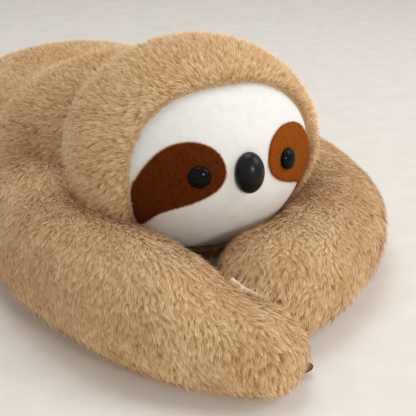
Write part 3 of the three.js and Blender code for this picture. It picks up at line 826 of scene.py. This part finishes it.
def make_hood():
    rows, cols = 72, 128
    way = turns(cols)
    start = seam_across(way)
    share = np.linspace(0, 1, rows)[:, None]
    across = start + (np.pi - 1e-3 - start) * share
    ways = np.broadcast_to(way, across.shape)
    from_seam = (across - start) * HEAD_ROUND
    sunk = np.exp(-(from_seam / 3.5) ** 2)
    under = np.clip(-np.sin(ways) * 2.2 - 1.1, 0, 1) * np.exp(-(from_seam / 45) ** 2)
    stands = PILE - HOOD_INSET - CHIN_INSET * under
    outer = head_point(across, ways, stands * (1 - sunk) - SEAM_DEPTH * sunk)
    normals = unit((outer - HEAD_CENTRE) / np.stack(
        [np.full(across.shape, HEAD_HALF_WIDTH**2),
         np.where(across < np.pi / 2, HEAD_FRONT, HEAD_ROUND) ** 2,
         np.full(across.shape, HEAD_ROUND**2)], -1))
    verts, polys = shell(outer, head_point(across, ways, -BACKING), rim_first=True)
    obj = make_mesh("hood_skin", verts, polys, skin_uvs(polys))
    weld(obj)
    give(obj, MATERIALS["fur"], "head", "tan_fur", "head_hood")

    coat = Coat(31)
    r, c = sow(outer, HOOD_SPACING, coat.rng)
    cloth = (outer, normals, unit(np.gradient(outer, axis=0)))
    roots, out, back = on_skin(cloth, r, c)
    combs = back * 0.8 + tangent(DOWN, out) * 0.65
    from_seam = np.linalg.norm(roots - pick(outer, np.zeros_like(r), c), axis=1)
    ridge = np.exp(-(from_seam / 9) ** 2)
    tone = mottled(coat, roots, 0.42, (0.15, 70, 35), (0.13, 11, 36)) + 0.25 * ridge
    strands = coat.grow(roots, out, combs, tone, stand=ridge)

    # a short lip that leans over the seam, and a fringe in the gap under the chin, given the
    # darkest tone as painted shade
    n = 900
    r = coat.rng.uniform(0, 0.9, n)
    c = (np.arange(n) + coat.rng.uniform(0, 1, n)) * cols / n
    roots, out, back = on_skin(cloth, r, c)
    lip = coat.grow(roots, out, -back, coat.rng.normal(0.7, 0.1, n),
                    stand=np.ones(n), long=np.full(n, 0.5))
    r = coat.rng.uniform(1, 14, n)
    c = (0.75 + coat.rng.uniform(-0.1, 0.1, n)) * cols
    roots, out, back = on_skin(cloth, r, c)
    # the fringe's near-lowest tone is painted shade for the gap under the chin
    shade_fringe = coat.grow(roots, out, back, coat.rng.normal(0.06, 0.06, n),
                       stand=np.full(n, 1.6), long=np.full(n, 1.9))
    coat.build("hood_fur", "head", [strands, lip, shade_fringe],
               keep=lambda v: out_of_head(v, HOOD_STRAND_CLEAR))


def face_height(x, rise):
    """How far the face's cloth stands off the CAD's: sunk into its seam and to its buttons."""
    across, up = unwarped(x, rise)
    edge_x, edge_rise = face_edge(np.arctan2(up, across))
    share = np.clip(np.hypot(x, rise + FACE_DROP)
                    / np.maximum(np.hypot(edge_x, edge_rise + FACE_DROP), 1e-6), 0, 1)
    seam = np.exp(-(1 - share) * 16)
    height = 0.4 - SEAM_DEPTH * seam
    for spot_x, spot_rise, reach, pull in (
        (EYE_SPREAD, EYE_RISE, 14, 0.7), (-EYE_SPREAD, EYE_RISE, 14, 0.7),
        (0, NOSE_RISE, 22, 0.9),
    ):
        height = height - pull * np.exp(
            -((x - spot_x) ** 2 + (rise - spot_rise) ** 2) / reach**2)
    spot = np.stack([x, rise, 0 * x], -1)
    return height + 0.28 * waves(spot, 55, 41) + 0.08 * waves(spot, 17, 42)


def make_face():
    rows, cols = 60, 160
    turn = turns(cols)
    edge_x, edge_rise = face_edge(turn)
    share = (np.linspace(0, 1, rows) ** 0.9)[:, None]
    x = edge_x * share
    rise = (edge_rise + FACE_DROP) * share - FACE_DROP
    at, out = on_face(x, rise, 0)
    outer = at + out * face_height(x, rise)[..., None]
    obj = make_mesh("face_cloth", *shell(outer, on_face(x, rise, -BACKING)[0], rim_first=False))
    weld(obj)
    give(obj, MATERIALS["white"], "head", "white_plush", "face_panel")


PATCH = np.array([
    [[0.231, 0.124], [0.231, 0.289], [0.351, 0.392], [0.515, 0.392]],
    [[0.515, 0.392], [0.742, 0.392], [0.907, 0.206], [1.01, -0.103]],
    [[0.876, -0.557], [0.825, -0.309], [0.742, -0.258], [0.619, -0.206]],
    [[0.619, -0.206], [0.474, -0.144], [0.231, -0.062], [0.231, 0.124]],
]) * FACE_HALF_WIDTH
PATCH_TAIL = np.array([[1.155, -0.619]]) * FACE_HALF_WIDTH  # past the seam


def bezier(points, t):
    a, b, c, d = points
    t = t[:, None]
    return a * (1 - t)**3 + 3 * b * t * (1 - t)**2 + 3 * c * t**2 * (1 - t) + d * t**3


def patch_outline():
    """The left patch's edge as evenly spaced points, clockwise, kept inside the face's seam."""
    t = np.linspace(0, 1, 60, endpoint=False)
    line = np.concatenate([bezier(PATCH[0], t), bezier(PATCH[1], t), PATCH[1][3:],
                           PATCH[1][3] + (PATCH_TAIL - PATCH[1][3]) * t[:, None], PATCH_TAIL,
                           PATCH_TAIL + (PATCH[2][0] - PATCH_TAIL) * t[:, None],
                           bezier(PATCH[2], t), bezier(PATCH[3], t)])
    # the seam stands in for what lies past it
    across, up = unwarped(*line.T, PATCH_INSET)
    first, last = np.nonzero(across**2 + up**2 > 1)[0][[0, -1]]
    across, up = unwarped(*line[[first, last]].T)
    seam = np.stack(face_edge(np.linspace(*np.arctan2(up, across), 80), -PATCH_INSET), 1)
    line = np.concatenate([line[:first], seam, line[last + 1:]])
    closed = np.vstack([line, line[:1]])
    way = np.concatenate([[0], np.cumsum(np.linalg.norm(np.diff(closed, axis=0), axis=1))])
    even = np.linspace(0, way[-1], 260, endpoint=False)
    return np.stack([np.interp(even, way, closed[:, k]) for k in (0, 1)], 1)


def inside_outline(point, line):
    a, b = line, np.roll(line, -1, 0)
    crosses = (a[:, 1] > point[1]) != (b[:, 1] > point[1])
    with np.errstate(divide="ignore", invalid="ignore"):
        at = (b[:, 0] - a[:, 0]) * (point[1] - a[:, 1]) / (b[:, 1] - a[:, 1]) + a[:, 0]
    return bool(np.sum(crosses & (point[0] < at)) % 2)


def make_patch(side, name):
    """A patch of short plush: rings from under its edge up to a cap, and a fuzz at the edge."""
    line = patch_outline()
    along = np.roll(line, -1, 0) - np.roll(line, 1, 0)
    out = unit(np.stack([-along[:, 1], along[:, 0]], 1))
    rings = ((0.0, -0.4), (0.15, 0.5), (-0.5, 1.2), (-1.6, 1.7))
    spots = [line + out * grow for grow, _ in rings]
    n, rim, mesh_size = len(line), spots[-1], 2.2
    low, high = line.min(0), line.max(0)
    gx, gz = np.meshgrid(*(np.arange(low[k], high[k], mesh_size) for k in (0, 1)))
    inner = np.stack([gx.ravel(), gz.ravel()], 1)
    inner = inner[[inside_outline(p, rim) for p in inner]]
    inner = inner[np.linalg.norm(inner[:, None] - rim[None], axis=2).min(1) > 1.3]
    flat, _, tris, origins, _, _ = delaunay_2d_cdt(
        [Vector(p) for p in np.concatenate([rim, inner])],
        [(i, (i + 1) % n) for i in range(n)], [], 1, 1e-4)
    flat = np.array([list(v) for v in flat])
    index = {o: new for new, old in enumerate(origins) for o in old}
    on_rim = np.array([index[i] for i in range(n)])
    heights = [np.full(n, height) for _, height in rings[:-1]] + [np.full(len(flat), 1.8)]
    heights[-1][on_rim] = rings[-1][1]
    base = (len(rings) - 1) * n
    levels = [np.arange(n) + k * n for k in range(len(rings) - 1)] + [on_rim + base]
    polys = [np.stack([a, np.roll(a, -1), np.roll(b, -1), b], 1)
             for a, b in zip(levels, levels[1:])]
    polys.append(np.array(tris) + base)
    if side < 0:
        polys = [np.asarray(p)[:, ::-1] for p in polys]
    x, rise = np.concatenate(spots[:-1] + [flat]).T
    x = x * side
    at, normal = on_face(x, rise, 0)
    verts = at + normal * (face_height(x, rise) + np.concatenate(heights))[:, None]
    obj = make_mesh(name, verts, polys)
    weld(obj)
    # the right patch takes the darker copy as painted shade; the left one takes the brown plush as
    # it is
    cloth = MATERIALS["brown" if side > 0 else "brown_painted_shade"]
    give(obj, cloth, "head", "brown_plush", name.replace("_plush", ""))
    edge_fuzz(side, name + "_edge", line, out)


def edge_fuzz(side, name, line, out, count=2600):
    """Fine fibres that lean out over a patch's edge, left out along the face's seam."""
    rng = np.random.default_rng(51 + side)
    chosen = rng.integers(0, len(line), count)
    spot = line[chosen] + out[chosen] * rng.uniform(-1.2, 0.2, (count, 1))
    across, up = unwarped(*spot.T, 2)
    keep = across**2 + up**2 < 1
    spot, way = spot[keep], out[chosen][keep]
    x, rise = spot[:, 0] * side, spot[:, 1]
    at, normal = on_face(x, rise, 0)
    roots = at + normal * (face_height(x, rise) + 0.9)[:, None]
    ahead = np.stack([way[:, 0] * side, np.zeros(len(way)), way[:, 1]], 1)
    ahead = unit(tangent(ahead, normal))
    ahead = unit(ahead + rng.normal(0, 0.5, ahead.shape))
    length = rng.uniform(1.2, 2.4, (len(spot), 1))
    tips = roots + ahead * length + normal * rng.uniform(0.0, 0.9, (len(spot), 1))
    wide = unit(np.cross(normal, ahead)) * 0.16
    verts = np.stack([roots - wide, roots + wide, tips], 1).reshape(-1, 3)
    fuzz = make_mesh(name, verts, [np.arange(len(spot) * 3).reshape(-1, 3)])
    give(fuzz, MATERIALS["edge"], "head", "brown_plush")


def make_button(node, slot, x, rise, layers, half_width, half_height, dome):
    """A domed button that stands on the face, its edge rolled over into the cloth."""
    steps, cols = 22, 72
    bend = np.linspace(0, np.pi / 2, steps)
    radius = np.concatenate([[0.9, 0.98], np.cos(bend)])
    height = np.concatenate([[-SKIRT, -0.6], RIM + (dome - RIM) * np.sin(bend)])
    turn = turns(cols)
    at, out = on_face(np.array([float(x)]), np.array([float(rise)]), 0)
    at, out = at[0], out[0]
    across = unit(np.cross(out, [0, 0, 1.0]))
    up = unit(np.cross(across, out))
    foot = at + out * (layers + SEAT)
    verts = (foot + across * (radius[:, None, None] * half_width * np.cos(turn)[None, :, None])
             + up * (radius[:, None, None] * half_height * np.sin(turn)[None, :, None])
             + out * height[:, None, None])
    obj = make_mesh(node + "_dome", verts.reshape(-1, 3), [grid_faces(len(radius), cols),
                                                           np.arange(cols)[None, ::-1]])
    weld(obj)
    give(obj, MATERIALS[slot], "head", slot, node)


def claw_ring(d, length):
    taper = CLAW_TIP_RADIUS - CLAW_ROOT_RADIUS
    radius = CLAW_FULLER + CLAW_ROOT_RADIUS + taper * d / length
    opened = round_end(d, radius) * round_end(length - d, 2 * radius)
    return radius * opened, radius * opened, CLAW_HEIGHT + 0 * d


def make_claws(limb_name):
    for index, (start, end) in enumerate(CLAWS[limb_name]):
        claw = Tube([tuple(start), tuple(end)], claw_ring, 2, 2)
        rows, cols = 26, 24
        share = (1 - np.cos(np.pi * np.linspace(0, 1, rows))) / 2
        d, around = np.meshgrid(np.clip(share * claw.length, 1e-3, claw.length - 1e-3),
                                turns(cols), indexing="ij")
        points = claw.points(d, around)
        points += waves(points, 5, 61)[..., None] * 0.12
        name = f"{limb_name}_claw_{index + 1}"
        obj = make_mesh(name + "_plush", points.reshape(-1, 3), [grid_faces(rows, cols)])
        weld(obj)
        give(obj, MATERIALS["claw"], limb_name, "brown_plush", name)


def make_tab():
    """A blank tape folded double, its two ends sewn into the arm's seam."""
    rows, cols = 41, 22
    s = np.linspace(-0.5, 0.5, rows)[:, None] * TAB_LENGTH
    line = TAB_ALONG * arm_right.length + s
    roll = np.full(s.shape, math.radians(TAB_ROLL))
    skin = arm_right.points(line, roll)
    along = unit(np.gradient(skin, axis=0))
    around = arm_right.points(line, roll + 0.02) - skin
    out = unit(np.cross(around, along))
    across = np.cross(along, out)
    fold = np.linspace(-1, 1, cols)[None]
    tall = TAB_DEPTH * (1 - np.abs(fold) ** 3)
    gap = 0.28 * np.sign(fold) * (np.abs(fold) ** 0.3) + 0 * s
    wave = 0.5 * np.sin(s / 7) * (tall / TAB_DEPTH)
    bent = TAB_BEND * tall / TAB_DEPTH + 1e-6
    reach = tall * np.sin(bent) / bent
    drop = -tall * (1 - np.cos(bent)) / bent * np.sign(across[:, :, 2])
    verts = skin + out * reach[..., None] + across * (drop + gap + wave)[..., None]
    obj = make_mesh("side_tab_tape", verts.reshape(-1, 3), [grid_faces(rows, cols, closed=False)])
    give(obj, MATERIALS["tab"], "arm_right", "satin_tab", "side_tab")


# ---- what stays CAD


def dress_cad():
    """The pieces inside keep their CAD solids, in their own materials."""
    inner = {"body_filling": "fibre", "head_filling": "fibre", "nose_washer": "washer",
             "eye_left_washer": "washer", "eye_right_washer": "washer"}
    inner.update({f"weight_pouch_{p}": "pouch" for p in ("chest", "middle", "rump")})
    for node, material in inner.items():
        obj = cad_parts[node]
        obj.data.materials.clear()
        obj.data.materials.append(MATERIALS[material])


# ---- stage and camera


def make_stage():
    floor = bpy.data.meshes.new("floor")
    radius, cols = 9.0, 64
    turn = turns(cols)
    floor.from_pydata([(radius * math.cos(t), radius * math.sin(t), 0) for t in turn], [],
                      [list(range(cols))])
    obj = add_object("floor", floor)
    n = Nodes("floor_cloth", 0.95, Specular_IOR_Level=0.1)
    n.colour(n.ramp(n.noise(30, 2), [(0.3, srgb(236, 233, 228)), (0.7, srgb(242, 239, 235))]))
    floor.materials.append(n.material)

    world = bpy.data.worlds.new("studio")
    bpy.context.scene.world = world
    world.use_nodes = True
    tree = world.node_tree
    light, shown = tree.nodes["Background"], tree.nodes.new("ShaderNodeBackground")
    for node, colour, strength in ((light, (1, 0.94, 0.86, 1), 0.4),
                                   (shown, (1, 0.99, 0.975, 1), 0.92)):
        node.inputs["Color"].default_value = colour
        node.inputs["Strength"].default_value = strength
    path = tree.nodes.new("ShaderNodeLightPath")
    seen = path.outputs["Is Camera Ray"]
    for kind in ("Is Glossy Ray", "Is Transmission Ray"):
        either = tree.nodes.new("ShaderNodeMath")
        either.operation, either.use_clamp = "ADD", True
        tree.links.new(seen, either.inputs[0])
        tree.links.new(path.outputs[kind], either.inputs[1])
        seen = either.outputs[0]
    mix = tree.nodes.new("ShaderNodeMixShader")
    tree.links.new(seen, mix.inputs[0])
    tree.links.new(light.outputs[0], mix.inputs[1])
    tree.links.new(shown.outputs[0], mix.inputs[2])
    tree.links.new(mix.outputs[0], tree.nodes["World Output"].inputs["Surface"])

    middle = Vector((0, -0.2, 0.1))
    for name, place, size, power, colour in (  # metres and watts
        ("key", (1.35, -1.05, 1.35), 1.1, 13.0, (1, 0.99, 0.975)),
        ("top", (0.1, 0.2, 2.0), 1.3, 14.5, (0.98, 0.99, 1)),
        ("front", (0.15, -2.0, 0.65), 0.3, 9.5, (1, 0.95, 0.885)),
    ):
        data = bpy.data.lights.new(name, "AREA")
        data.shape, data.size, data.energy, data.color = "SQUARE", size, power, colour
        lamp = add_object(name, data)
        lamp.location = place
        lamp.rotation_euler = (middle - Vector(place)).to_track_quat("-Z", "Y").to_euler()


def make_camera():
    """The camera fitted to the photo: its focal length in pixels, its place and its angles."""
    frame_px, focal_px, down, aside = 416, 900, 25.1, 28.5
    data = bpy.data.cameras.new("camera")
    data.sensor_width = 36
    data.lens = focal_px / frame_px * data.sensor_width
    data.clip_end = 50
    camera = add_object("camera", data)
    camera.location = row((-388.1, -748.8, 458.7))
    camera.rotation_euler = (math.radians(90 - down), 0, math.radians(-aside))
    bpy.context.scene.camera = camera
    bpy.context.scene.view_settings.view_transform = "Standard"


make_camera()
make_stage()
make_body()
make_limbs()
make_hood()
make_face()
make_patch(1, "eye_patch_left_plush")
make_patch(-1, "eye_patch_right_plush")
for eye_side, eye_node in ((1, "eye_left"), (-1, "eye_right")):
    make_button(eye_node, "eye", eye_side * EYE_SPREAD, EYE_RISE, PATCH_THICKNESS,
                EYE_RADIUS, EYE_RADIUS, EYE_DOME)
make_button("nose", "nose", 0, NOSE_RISE, 0, NOSE_HALF_WIDTH, NOSE_HALF_HEIGHT, NOSE_DOME)
for limb_name in CLAWS:
    make_claws(limb_name)
make_tab()
dress_cad()
